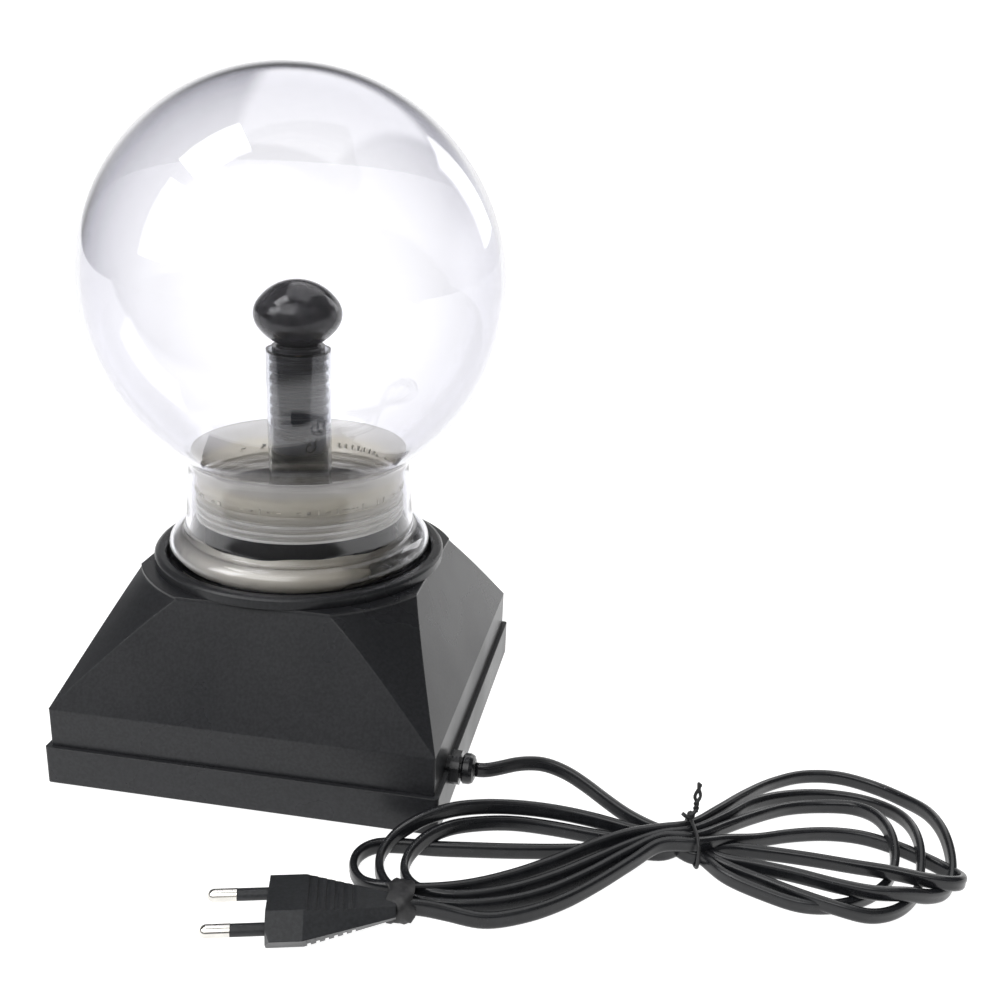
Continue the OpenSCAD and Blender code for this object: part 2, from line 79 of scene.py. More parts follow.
def material(name, colour, rough=0.4, metal=0.0, spec=0.5, coat=0.0, coat_rough=0.1, vary=0.15, bump=0.0,
             scale=400.0, rough_vary=0.0, rvscale=60.0, transmission=0.0, ior=1.45, stretch=(1, 1, 1), round_mm=0.0,
             facing=None, along=None):
    """A shader with noise in its colour, roughness and bump. Uniform values sit on the shader's own sockets.

    facing is (tint, blend), a painted shade at grazing angles; along is (axis, from, to, [(place, colour), ...]) in
    metres.
    """
    m = bpy.data.materials.new(name)
    m.use_nodes = True
    nt = m.node_tree
    b = nt.nodes["Principled BSDF"]
    b.inputs["Metallic"].default_value = metal
    b.inputs["Roughness"].default_value = rough
    b.inputs["IOR"].default_value = ior
    b.inputs["Specular IOR Level"].default_value = spec
    b.inputs["Coat Weight"].default_value = coat
    b.inputs["Coat Roughness"].default_value = coat_rough
    b.inputs["Transmission Weight"].default_value = transmission
    tc = nt.nodes.new("ShaderNodeTexCoord")
    mp = nt.nodes.new("ShaderNodeMapping")
    mp.inputs["Scale"].default_value = stretch
    nt.links.new(tc.outputs["Object"], mp.inputs["Vector"])
    nz = nt.nodes.new("ShaderNodeTexNoise")
    nz.inputs["Scale"].default_value = scale
    nz.inputs["Detail"].default_value = 4
    nt.links.new(mp.outputs["Vector"], nz.inputs["Vector"])
    ramp = nt.nodes.new("ShaderNodeValToRGB")
    c = Vector(colour[:3])
    ramp.color_ramp.elements[0].color = (*(c * (1 - vary)), 1)
    ramp.color_ramp.elements[1].color = (*[min(1.0, v * (1 + vary)) for v in c], 1)
    ramp.color_ramp.elements[0].position, ramp.color_ramp.elements[1].position = 0.35, 0.65
    nt.links.new(nz.outputs["Fac"], ramp.inputs["Fac"])
    nt.links.new(ramp.outputs["Color"], b.inputs["Base Color"])
    if facing:
        # painted shade: tints and darkens the colour at grazing angles, standing in for the dim reflections along the
        # glass's edges
        lw = nt.nodes.new("ShaderNodeLayerWeight")
        lw.inputs["Blend"].default_value = facing[1]
        mix = nt.nodes.new("ShaderNodeMix")
        mix.data_type = "RGBA"
        mix.blend_type = "MULTIPLY"
        nt.links.new(lw.outputs["Facing"], mix.inputs["Factor"])
        nt.links.new(ramp.outputs["Color"], mix.inputs["A"])
        mix.inputs["B"].default_value = (*facing[0], 1)
        nt.links.new(mix.outputs["Result"], b.inputs["Base Color"])
    if along:
        # colour by position along one axis, with its edges made uneven by the noise
        axis, lo, hi, stops = along
        sep = nt.nodes.new("ShaderNodeSeparateXYZ")
        nt.links.new(tc.outputs["Object"], sep.inputs["Vector"])
        wob = nt.nodes.new("ShaderNodeMath")
        wob.operation = "MULTIPLY_ADD"
        nt.links.new(nz.outputs["Fac"], wob.inputs[0])
        wob.inputs[1].default_value = (hi - lo) * 0.12
        nt.links.new(sep.outputs[axis], wob.inputs[2])
        shift = (hi - lo) * 0.06
        place_out = map_range(nt, wob.outputs["Value"], lo + shift, hi + shift, 0.0, 1.0)
        cr = nt.nodes.new("ShaderNodeValToRGB")
        while len(cr.color_ramp.elements) < len(stops):
            cr.color_ramp.elements.new(0.5)
        for e, (place, col) in zip(cr.color_ramp.elements, stops):
            e.position, e.color = place, (*col, 1)
        nt.links.new(place_out, cr.inputs["Fac"])
        nt.links.new(cr.outputs["Color"], b.inputs["Base Color"])
    if rough_vary:
        nr = nt.nodes.new("ShaderNodeTexNoise")
        nr.inputs["Scale"].default_value = rvscale
        nr.inputs["Detail"].default_value = 5
        nt.links.new(mp.outputs["Vector"], nr.inputs["Vector"])
        nt.links.new(map_range(nt, nr.outputs["Fac"], 0.3, 0.7, max(0.0, rough - rough_vary), rough + rough_vary),
                     b.inputs["Roughness"])
    if bump:
        bp = nt.nodes.new("ShaderNodeBump")
        bp.inputs["Strength"].default_value = bump
        bp.inputs["Distance"].default_value = 0.0002
        nt.links.new(nz.outputs["Fac"], bp.inputs["Height"])
        nt.links.new(bp.outputs["Normal"], b.inputs["Normal"])
    if round_mm:
        bv = nt.nodes.new("ShaderNodeBevel")
        bv.samples = 4
        bv.inputs["Radius"].default_value = round_mm * MM
        nt.links.new(bv.outputs["Normal"], (bp.inputs if bump else b.inputs)["Normal"])
    return m


M = {
    # the clear glass and the tube glass get painted shade at their edges through facing
    "glass": material("clear_glass", (0.985, 0.983, 0.998), 0.004, vary=0.003, scale=9, transmission=1.0, ior=1.47,
                      rough_vary=0.002, rvscale=9, facing=((0.5, 0.5, 0.56), 0.46)),
    "tube_glass": material("tube_glass", (0.93, 0.94, 0.96), 0.02, vary=0.01, scale=30, transmission=1.0, ior=1.47,
                           bump=0.15, spec=0.3, facing=((0.5, 0.52, 0.56), 0.5)),
    "black": material("black_moulding", (0.017, 0.0175, 0.0195), 0.3, vary=0.2, bump=0.04, scale=900, spec=0.34,
                      rough_vary=0.06, rvscale=25, round_mm=0.7),
    # the compound's colour runs darker towards both ends along X: painted shade on the bead's left side, and at the
    # right end the compound's own thinner, dirtier look
    "sealant": material("sealant", (0.42, 0.4, 0.33), 0.35, vary=0.12, bump=0.7, scale=160,
                        along=("X", -0.05, 0.05, [(0, (0.17, 0.165, 0.15)), (0.2, (0.52, 0.505, 0.46)),
                                                  (0.45, (0.7, 0.67, 0.58)), (0.75, (0.56, 0.52, 0.42)),
                                                  (0.9, (0.24, 0.225, 0.18))])),
    "cement": material("clear_cement", (0.6, 0.6, 0.56), 0.2, vary=0.3, bump=1.0, scale=260, transmission=0.85),
    "rubber": material("foot_rubber", (0.03, 0.03, 0.03), 0.8, bump=0.4, scale=1500),
    "steel": material("zinc_steel", (0.62, 0.62, 0.64), 0.32, metal=1, bump=0.1, scale=1200, rough_vary=0.1),
    "ball": material("ball_coating", (0.03, 0.029, 0.033), 0.12, vary=0.2, scale=300, rough_vary=0.04, rvscale=80),
    "core": material("core_dark", (0.03, 0.03, 0.036), 0.35, vary=0.25, scale=90, bump=0.1, rough_vary=0.1, spec=0.3,
                     along=("Z", 0.11, 0.149, [(0, (0.1, 0.105, 0.12)), (0.17, (0.11, 0.115, 0.13)),
                                               (0.23, (0.018, 0.019, 0.023)), (0.31, (0.03, 0.033, 0.041)),
                                               (0.68, (0.026, 0.029, 0.037)), (0.74, (0.012, 0.012, 0.017))])),
    "core_base": material("core_base_dark", (0.016, 0.016, 0.018), 0.35, vary=0.2, scale=500, bump=0.1, spec=0.3),
    "brass": material("brass", (0.78, 0.6, 0.32), 0.25, metal=1, scale=900, bump=0.08),
    # the insert's pale rings low down along Z are painted highlights on its rim lines, with painted shade between
    # them; the brighter band higher up is painted light over its own beige tint
    "insert": material("insert_clear", (0.7, 0.69, 0.63), 0.16, vary=0.05, scale=70, transmission=0.6, bump=0.25,
                       along=("Z", 0.088, 0.111, [(0, (0.9, 0.9, 0.9)), (0.05, (0.45, 0.46, 0.46)),
                                                  (0.11, (0.93, 0.93, 0.92)), (0.16, (0.5, 0.5, 0.49)),
                                                  (0.22, (0.95, 0.94, 0.92)), (0.27, (0.55, 0.54, 0.51)),
                                                  (0.42, (0.62, 0.6, 0.53)), (0.5, (0.97, 0.93, 0.8)),
                                                  (0.68, (1.0, 0.96, 0.84)), (0.78, (0.98, 0.97, 0.95)),
                                                  (1, (1.0, 1.0, 1.0))])),
    # the marks' pale, strongly varied colour is painted highlight and shade on the embossed marks
    "marks": material("marks", (0.58, 0.56, 0.49), 0.25, vary=0.5, scale=420),
    # pale material for the thin rings that stand in as painted highlights along the insert's rim lines
    "ribs": material("insert_edge_highlight", (0.86, 0.86, 0.83), 0.2, vary=0.2, scale=40, transmission=0.25),
    "grey": material("grey_floor", (0.05, 0.05, 0.048), 0.4, vary=0.25, scale=120, bump=0.2),
    "board": material("laminate", (0.42, 0.3, 0.12), 0.5, vary=0.15, scale=250, bump=0.1),
    "lamination": material("laminations", (0.18, 0.18, 0.19), 0.45, metal=0.6, vary=0.3, scale=60, bump=0.6,
                           stretch=(1, 40, 1)),
    "tape": material("winding_tape", (0.7, 0.5, 0.1), 0.3, vary=0.12, scale=80, bump=0.3, stretch=(1, 1, 14)),
    "ferrite": material("ferrite", (0.05, 0.05, 0.055), 0.55, vary=0.2, scale=900, bump=0.3),
    "potting": material("potting", (0.02, 0.02, 0.022), 0.3, vary=0.2, scale=300, bump=0.15),
    "copper": material("copper_wire", (0.66, 0.28, 0.12), 0.28, metal=0.9, vary=0.2, scale=60, bump=0.8,
                       stretch=(1, 1, 30)),
    "aluminium": material("aluminium", (0.78, 0.78, 0.8), 0.35, metal=1, scale=200, bump=0.2, stretch=(1, 1, 0.1)),
    "cap": material("cap_sleeve", (0.02, 0.035, 0.12), 0.3, scale=300, bump=0.1),
    "film": material("film_red", (0.4, 0.05, 0.03), 0.25, scale=300, bump=0.2),
    "resistor": material("resistor_body", (0.62, 0.5, 0.32), 0.4, scale=500, bump=0.1),
    "red_wire": material("red_wire", (0.45, 0.03, 0.02), 0.45, scale=500, bump=0.1),
    "lead_wire": material("lead_wire", (0.16, 0.08, 0.04), 0.45, scale=500, bump=0.1),
    "blue_wire": material("blue_wire", (0.03, 0.07, 0.25), 0.45, scale=500, bump=0.1),
    "switch": material("switch_black", (0.02, 0.02, 0.021), 0.45, scale=900, bump=0.2),
    "cord": material("cord_pvc", (0.009, 0.0095, 0.011), 0.26, vary=0.2, scale=350, bump=0.12, rough_vary=0.08,
                     rvscale=90),
    "tie": material("tie_black", (0.014, 0.014, 0.015), 0.5, scale=500, bump=0.8, round_mm=0.3),
    "plug": material("plug_black", (0.019, 0.02, 0.022), 0.42, vary=0.2, scale=900, bump=0.2, rough_vary=0.08,
                     spec=0.4, round_mm=0.5),
    "nickel": material("nickel", (0.74, 0.72, 0.68), 0.16, metal=1, vary=0.06, scale=300, rough_vary=0.06, bump=0.03),
}
for key, glow in (("insert", 0.05), ("ribs", 0.05)):
    # painted glow: a faint warm emission in the insert and its pale rings stands in for light scattered inside the
    # milky moulding
    shader = M[key].node_tree.nodes["Principled BSDF"]
    shader.inputs["Emission Color"].default_value = (1.0, 0.95, 0.83, 1)
    shader.inputs["Emission Strength"].default_value = glow
USES = {
    "glass": "globe fuse", "tube_glass": "electrode_tube", "black": "housing base_tray collar_ring",
    "sealant": "seal_ring", "rubber": "rubber_feet",
    "steel": "housing_screws board_screws transistor_screw switch_screws switch_flange",
    "ball": "electrode_ball electrode_collar", "core": "electrode_core", "core_base": "core_base",
    "brass": "electrode_contact fuse_clips", "insert": "neck_insert", "grey": "neck_floor", "board": "circuit_board",
    "lamination": "transformer_core", "tape": "transformer_winding", "ferrite": "flyback_core",
    "potting": "flyback_secondary power_transistor controller_chip diodes", "copper": "flyback_primary",
    "aluminium": "heatsink microphone", "cap": "electrolytics", "film": "film_capacitor",
    "resistor": "resistors", "red_wire": "high_voltage_lead", "lead_wire": "mains_leads",
    "blue_wire": "switch_leads", "switch": "switch_body switch_slider", "cord": "strain_relief cord_lead cord_hank",
    "tie": "twist_tie plug_tie", "plug": "plug_body pin_sleeves", "nickel": "plug_pins",
}
for key, names in USES.items():
    for name in names.split():
        nodes[name].data.materials.clear()
        nodes[name].data.materials.append(M[key])


# ---------------------------------------------------------------- helpers
def add(name, verts, faces, mat, body="base", smooth=True, replaces=(), slot=None, auto=None):
    """A mesh piece that rides on body. auto is the angle in degrees above which an edge stays sharp."""
    me = bpy.data.meshes.new(name)
    me.from_pydata([tuple(v) for v in verts], [], faces)
    me.validate()
    o = bpy.data.objects.new(name, me)
    scene.collection.objects.link(o)
    me.materials.append(mat)
    bm = bmesh.new()
    bm.from_mesh(me)
    bmesh.ops.recalc_face_normals(bm, faces=bm.faces)
    bm.to_mesh(me)
    bm.free()
    for p in me.polygons:
        p.use_smooth = smooth
    if auto and smooth:
        for e in me.edges:
            e.use_edge_sharp = False
        me.set_sharp_from_angle(angle=math.radians(auto))
    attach(o, body)
    if replaces:
        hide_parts(*replaces)
    return o


def spline(points, step=2.0):
    """Centripetal curve through the points (mm), sampled about every step mm."""
    p = np.array(points, float)
    p = np.vstack([2 * p[0] - p[1], p, 2 * p[-1] - p[-2]])
    out = []
    for i in range(1, len(p) - 2):
        a, b, c, d = p[i - 1:i + 3]
        t0 = 0.0
        t1 = t0 + max(np.linalg.norm(b - a), 1e-6) ** 0.5
        t2 = t1 + max(np.linalg.norm(c - b), 1e-6) ** 0.5
        t3 = t2 + max(np.linalg.norm(d - c), 1e-6) ** 0.5
        n = max(2, int(round(np.linalg.norm(c - b) / step)))
        for t in np.linspace(t1, t2, n, endpoint=False):
            a1 = (t1 - t) / (t1 - t0) * a + (t - t0) / (t1 - t0) * b
            a2 = (t2 - t) / (t2 - t1) * b + (t - t1) / (t2 - t1) * c
            a3 = (t3 - t) / (t3 - t2) * c + (t - t2) / (t3 - t2) * d
            b1 = (t2 - t) / (t2 - t0) * a1 + (t - t0) / (t2 - t0) * a2
            b2 = (t3 - t) / (t3 - t1) * a2 + (t - t1) / (t3 - t1) * a3
            out.append((t2 - t) / (t2 - t1) * b1 + (t - t1) / (t2 - t1) * b2)
    out.append(p[-2])
    q = np.array(out)
    for _ in range(2):
        q[1:-1] = 0.25 * q[:-2] + 0.5 * q[1:-1] + 0.25 * q[2:]
    return q


# ---------------------------------------------------------------- the flat cord
# Heights: 2.6 is a run standing on its edge on the table, 7.8 is one run on top of another.
LEAD = [(80, -49, 14.2), (83, -49, 14.2), (88, -47, 14.7), (95, -42.9, 15), (103, -40, 14.2), (111, -40.5, 12.4),
        (119, -43.5, 10), (127, -48, 7.6), (135, -52, 5.4), (145, -55, 3.4)]


def knot(column, top):
    """A run's place where the tie holds it: four columns side by side, two layers."""
    return (157 - 0.276 * column, -62 + 0.961 * column, 8.0 if top else 2.8)


RIGHT_B = [knot(4.8, 1), (166, -44, 7), (175, -30, 5), (186, -16, 3), (198, -7.5, 2.6), (211, -5, 2.6),
           (223, -9, 3), (233, -18, 4.6), (239.5, -30, 7.4), (242.5, -42, 7.4), (243, -54, 4.4), (240, -65, 2.6),
           (233, -72.5, 4.6), (225, -77, 7.6), (214, -79, 7.8), (203, -77.5, 7.4), (190, -73, 6), (176, -68.5, 4),
           (166, -66, 3)]
RIGHT_C = [knot(1.6, 1), (168, -48, 7), (178, -34, 5), (190, -24, 3.2), (203, -19, 2.6), (215, -19.5, 3.2),
           (225, -26, 5.2), (231, -37, 7.6), (233, -49, 7.2), (232, -60, 4), (229, -70, 2.6), (222, -79.5, 2.6),
           (213, -84.5, 3), (202, -84.5, 4.4), (191, -80.5, 4), (179, -74.5, 3.2), (167, -69, 3)]
RIGHT_D = [knot(-1.6, 1), (168, -52.5, 6.4), (179, -41, 4.6), (191, -31, 3.2), (203, -26.5, 3), (214, -28, 5),
           (221, -36, 7.4), (224.5, -47, 6.8), (224, -58, 3.6), (219.5, -68, 2.6), (212, -76, 2.6), (203, -81.5, 2.6),
           (192, -83.5, 2.6), (180, -80, 2.6), (168, -74, 2.6)]
RIGHT_A = [knot(-4.8, 1), (168, -59, 5.4), (179, -52.5, 3), (191, -46.5, 2.6), (204, -42.5, 2.6), (216, -42, 2.6),
           (227, -45.5, 2.6), (236, -50.5, 2.6), (242.5, -56.5, 3.2), (244.5, -63, 5.4), (240.5, -68.5, 7.8),
           (232, -69.5, 8.4), (221, -67.5, 8), (209, -65, 6.6), (196, -62, 5), (182, -60, 3.6), (169, -60, 3)]
LEFT_2 = [(147, -66, 8), (136, -75, 6.4), (124, -86, 4.2), (112, -96, 3), (99, -103.5, 2.6), (85, -108, 2.6),
          (73, -108.5, 2.6), (64, -105, 2.8), (58.5, -98, 2.8), (56.5, -89.5, 3.6), (59.5, -82.5, 6.4),
          (66.5, -77.8, 10.4), (75, -73, 12.4), (84, -66.5, 11), (95, -61, 9), (108, -58, 7.4), (122, -57.5, 6),
          (136, -58.5, 4.4), (147, -59.5, 3.2)]
LEFT_3 = [(147, -64.5, 8), (137, -71, 7), (126, -79.5, 5.4), (114, -88.5, 3.6), (101, -97, 2.8), (89, -102.5, 2.6),
          (79, -104.5, 2.8), (71, -102.5, 2.8), (66, -96, 2.8), (65.5, -88.5, 3.6), (69.5, -82, 6.4), (76, -76, 7.6),
          (85, -69.5, 6.4), (96, -64, 4.6), (109, -61.5, 3), (123, -62, 2.6), (136, -63, 2.8), (147, -63.3, 2.8)]
LEFT_1 = [(147, -61.5, 8.2), (137, -66, 8), (126, -73, 7), (113, -82, 4.6), (100, -90.5, 3), (87, -98, 2.6),
          (74, -104, 3.6), (63, -106.5, 4.4), (54, -103.5, 2.8), (49.3, -97, 2.6), (49, -89.5, 2.6),
          (53, -84, 2.6), (61, -82, 2.6), (72, -81, 2.6), (84, -79, 2.6), (98, -76.5, 2.6), (112, -73.5, 2.6),
          (126, -70, 2.6), (138, -67.5, 2.6), (148, -66.8, 2.8)]
PLUG_RUN = [(147, -69, 7.8), (138, -78, 6), (128, -88.5, 4), (118, -98.5, 3), (107, -107, 2.8), (95, -112.6, 3),
            (84, -113.8, 4.8), (76, -115.3, 6.6), (70, -116.9, 7.2), (68, -117.5, 7.25)]
ROUTE = (LEAD + [knot(4.8, 0)] + RIGHT_B[::-1] + LEFT_1 + [knot(1.6, 0)] + RIGHT_C[::-1] + LEFT_3
         + [knot(-1.6, 0)] + RIGHT_D[::-1] + LEFT_2 + [knot(-4.8, 0)] + RIGHT_A[::-1] + PLUG_RUN)
cord_path = spline(ROUTE, 1.6)
# outline of the flex: two cores side by side with a shallow groove along each broad face
W, T = 5.2, 3.0
section = []
for k in range(20):
    a = 2 * math.pi * k / 20
    y = W / 2 * math.sin(a)
    x = T / 2 * (abs(math.cos(a)) ** 0.55) * (1 if math.cos(a) >= 0 else -1)
    x *= 1 - 0.13 * math.exp(-(y / 0.75) ** 2)
    section.append((x, y))
verts, faces = [], []
n = len(cord_path)
tang = np.gradient(cord_path, axis=0)
tang /= np.linalg.norm(tang, axis=1)[:, None]
for i in range(n):
    t = Vector(tang[i])
    s = t.cross(Vector((0, 0, 1))).normalized()
    v = s.cross(t)
    lean = math.radians(7) * math.sin(i * 0.045)
    s2 = s * math.cos(lean) + v * math.sin(lean)
    v2 = v * math.cos(lean) - s * math.sin(lean)
    c = Vector(cord_path[i])
    for x, y in section:
        verts.append((c + s2 * x + v2 * y) * MM)
k = len(section)
for i in range(n - 1):
    for j in range(k):
        m = (j + 1) % k
        faces.append((i * k + j, i * k + m, (i + 1) * k + m, (i + 1) * k + j))
faces.append(tuple(range(k))[::-1])
faces.append(tuple((n - 1) * k + j for j in range(k)))
flex = add("flex_cord", verts, faces, M["cord"], replaces=("cord_lead", "cord_hank"), slot="cord_black")


def wire(name, runs, mat, **kw):
    """Round wires through points in mm: [(radius, points), ...] in one mesh."""
    vs, fs = [], []
    for rad, pts in runs:
        q = spline(pts, 0.8)
        tg = np.gradient(q, axis=0)
        b0 = len(vs)
        for p, t in zip(q, tg):
            t = Vector(t).normalized()
            s = t.cross(Vector((0.31, 0.17, 0.93))).normalized()
            v = s.cross(t)
            for j in range(8):
                vs.append((Vector(p) + (s * math.cos(j * math.pi / 4) + v * math.sin(j * math.pi / 4)) * rad) * MM)
        for i in range(len(q) - 1):
            for j in range(8):
                m = (j + 1) % 8
                fs.append((b0 + i * 8 + j, b0 + i * 8 + m, b0 + i * 8 + 8 + m, b0 + i * 8 + 8 + j))
        fs.append(tuple(range(b0, b0 + 8))[::-1])
        fs.append(tuple(range(len(vs) - 8, len(vs))))
    return add(name, vs, fs, mat, **kw)


def tie_frame(x, y, turn_deg):
    """Returns a function that carries points (mm) from a tie's own frame to the part's."""
    c, s = math.cos(math.radians(turn_deg)), math.sin(math.radians(turn_deg))
    return lambda pts: [(x + px * c - py * s, y + px * s + py * c, pz) for px, py, pz in pts]


at = tie_frame(157, -62, 16)
loop = at([(0.3, 4.4, 11.4), (0.2, 0, 11.6), (0, -4.5, 11.3), (-0.1, -7.9, 9.6), (-0.2, -8.9, 6), (-0.2, -8.7, 2),
           (-0.1, -7.4, 0.8), (0, 0, 0.65), (0.1, 7.6, 0.9), (0.2, 8.8, 3), (0.2, 8.8, 7), (0.2, 7.7, 10),
           (0.3, 5.6, 11.5)])
knot_a = at([(-2.6, 5.2, 13.4), (-1.4, 4.6, 12.4), (0.4, 4.2, 11.9), (1.6, 5.2, 12.6), (0.6, 6.2, 13.4),
             (-0.6, 5.2, 12.6), (0.2, 4.2, 13.2), (1.8, 4.8, 14.2), (2.6, 5.6, 15.6)])
twist_1 = at([(2 + 0.5 * math.cos(k * 1.3) + 0.3 * (k > 6), 5.4 + 0.5 * math.sin(k * 1.3), 13.4 + k * 0.75)
              for k in range(7)] + [(1.2, 5.6, 19), (1.4, 5.8, 20.6), (2.4, 5.8, 22.2), (2.9, 5.9, 24.2)])
twist_2 = at([(2 - 0.5 * math.cos(k * 1.3), 5.4 - 0.5 * math.sin(k * 1.3), 13.4 + k * 0.75) for k in range(7)]
             + [(3.2, 5.6, 19), (3.2, 5.8, 20.6), (2.4, 6, 22.2), (2.3, 6, 24.6)])
tie = wire("wire_tie", [(0.62, loop), (0.7, knot_a), (0.6, twist_1), (0.6, twist_2)], M["tie"],
           replaces=("twist_tie",), slot="cord_black")
# a wrap of tape round the plug's tail and the nearest runs
at = tie_frame(69, -113, 16)
rows, around = 9, 40
wv, wf = [], []
for skin in (0, 1):
    for i in range(rows):
        x = -4 + 8 * i / (rows - 1)
        for j in range(around):
            a = 2 * math.pi * j / around
            g = 1 + 0.05 * math.sin(3 * a + x) + 0.035 * math.sin(7 * a - 1.7 * x) - 0.008 * x * x - 0.09 * (1 - skin)
            edge = 0.5 * math.sin(4 * a + 2) * (abs(x) > 3.9)
            ca, sa = math.cos(a), math.sin(a)
            wv.append((x + edge, 7.2 * g * abs(ca) ** 0.8 * (1 if ca > 0 else -1),
                       5.9 + 5.3 * g * abs(sa) ** 0.8 * (1 if sa > 0 else -1)))
wv = [Vector(p) * MM for p in at(wv)]
for skin in (0, rows * around):
    for i in range(rows - 1):
        for j in range(around):
            m = (j + 1) % around
            row, after = skin + i * around, skin + (i + 1) * around
            wf.append((row + j, row + m, after + m, after + j))
for i in (0, rows - 1):
    for j in range(around):
        m, o = (j + 1) % around, rows * around
        wf.append((i * around + j, i * around + m, o + i * around + m, o + i * around + j))
wrap = add("tape_wrap", wv, wf, M["tie"], replaces=("plug_tie",), slot="cord_black", auto=50)
# dark loop inside the electrode's tube
polar = lambda pts: [(10.3 * math.cos(math.radians(d)), 10.3 * math.sin(math.radians(d)), z) for d, z in pts]
wire("tube_swirl", [(0.42, polar([(-98, 119.4), (-84, 119), (-70, 118.6), (-56, 119.4), (-46, 117.6), (-55, 115.4),
                                  (-60, 113.4), (-50, 112.4), (-38, 113.8), (-40, 116.2), (-32, 118)])),
                    (0.42, polar([(-102, 117.6), (-88, 117.4), (-74, 117.8), (-62, 117), (-48, 115.2)])),
                    (0.4, polar([(-102, 118.5), (-86, 118.2), (-72, 118.1), (-58, 118.3)]))],
     M["core_base"], slot="core_dark")

# ---------------------------------------------------------------- globe and its foot
def lathe(name, profile, mat, replaces=(), slot=None, n=144, wave=None, arc=(0, 360), auto=None):
    """Turns a closed (radius, height) outline in mm about the axis, all round or through an arc in degrees."""
    full = arc[1] - arc[0] >= 360
    cols = n if full else n + 1
    verts, faces, k = [], [], len(profile)
    for i in range(cols):
        a = math.radians(arc[0] + (arc[1] - arc[0]) * i / n)
        for j, (pr, pz) in enumerate(profile):
            q, z = wave(a, j, pr, pz) if wave else (pr, pz)
            verts.append((q * math.cos(a) * MM, q * math.sin(a) * MM, z * MM))
    for i in range(n):
        for j in range(k):
            m, i2 = (j + 1) % k, (i + 1) % cols
            faces.append((i * k + j, i2 * k + j, i2 * k + m, i * k + m))
    if not full:
        faces += [tuple(range(k)), tuple(range(n * k, n * k + k))[::-1]]
    return add(name, verts, faces, mat, replaces=replaces, slot=slot, auto=auto)


def ball_arc(r, z0, end, step=2.0):
    """Circle about (0, z0) from near the top down to where its radius is end."""
    stop = -math.acos(end / r)
    k = int((math.pi / 2 - stop) * r / step)
    return [(max(r * math.cos(a), 0.02), z0 + r * math.sin(a)) for a in np.linspace(math.pi / 2, stop, k)]


def turn(cx, cz, r, a0, a1, k):
    """k points of an arc in the (radius, height) plane, angles in degrees."""
    return [(cx + r * math.cos(a), cz + r * math.sin(a)) for a in np.radians(np.linspace(a0, a1, k))]


outer = (ball_arc(75, 173, 44) + [tuple(q) for q in spline(
    [(43.4, 111.8), (42.1, 110.5), (41.2, 109.2), (40.9, 107.8), (41, 106), (41.4, 101), (42, 94), (42.5, 87),
     (42.8, 83.6)], 0.7)] + turn(43.3, 75.8, 5.9, 84, -92, 26) + [(42.2, 70.3), (41.9, 71), (42.3, 71.6)])
inner = (turn(43.3, 75.8, 4.25, -92, 92, 20) + [tuple(q) for q in spline(
    [(42, 80.6), (41.3, 82), (41, 84), (40.7, 87), (40.3, 94), (39.7, 101), (39.35, 105.6), (39.3, 108), (39.6, 110),
     (40.6, 111.6), (41.9, 112.8)], 0.7)] + ball_arc(73.3, 173, 42.6)[::-1])
lathe("globe_glass", outer + inner, M["glass"], replaces=("globe",), slot="clear_glass", n=160)
rng = random.Random(5)
ph = [rng.uniform(0, 6.3) for _ in range(12)]


BEAD_R, BEAD_Z = 43.35, 75.8  # centre of the compound's round section, mm
BEAD_FROM, BEAD_TO, BEAD_TAPER = 0.66, 5.62, 0.28  # where the cream bead starts, ends and thins, radians


def lumpy(a, j, pr, pz):
    """The bead's slightly uneven skin, thinning towards both ends."""
    g = 1 + 0.035 * math.sin(7 * a + ph[0]) + 0.03 * math.sin(19 * a + ph[1] + j) + 0.02 * math.sin(43 * a + ph[2])
    g = min(g, 1.0) * (0.3 + 0.7 * max(0.0, min(1.0, (a - BEAD_FROM) / BEAD_TAPER, (BEAD_TO - a) / BEAD_TAPER)))
    return BEAD_R + (pr - BEAD_R) * g, BEAD_Z + (pz - BEAD_Z) * g


def ragged(a, j, pr, pz):
    """The torn outline of the clear smear where the cream compound is missing."""
    g = 0.66 + 0.2 * math.sin(9 * a + ph[3] + j * 0.9) + 0.12 * math.sin(31 * a + ph[4] + j * 1.7)
    return BEAD_R + (pr - BEAD_R) * g, BEAD_Z + (pz - BEAD_Z) * g


lathe("seal_bead", turn(BEAD_R, BEAD_Z, 4.12, 0, 342, 20), M["sealant"], replaces=("seal_ring",), slot="sealant",
      wave=lumpy, arc=(38, 322), n=220)
lathe("seal_bed", [(41.8, 66.6), (44.9, 66.6), (44.9, 69.7), (41.8, 69.7)], M["sealant"], replaces=("seal_ring",),
      slot="sealant", auto=40)
lathe("seal_fillet", [(37.2, 66.7), (41.2, 66.7), (42.5, 79.2), (41.8, 80.3), (41.1, 81.8), (40.9, 82.6), (40.2, 82.2),
                       (38.6, 79), (37.6, 74)],
      M["sealant"], slot="sealant", wave=lambda a, j, pr, pz: (pr, pz + (0.5 * math.sin(5 * a + 1) + 0.3 * math.sin(
          13 * a)) * (pz > 81)), arc=(-310, 25), n=200)
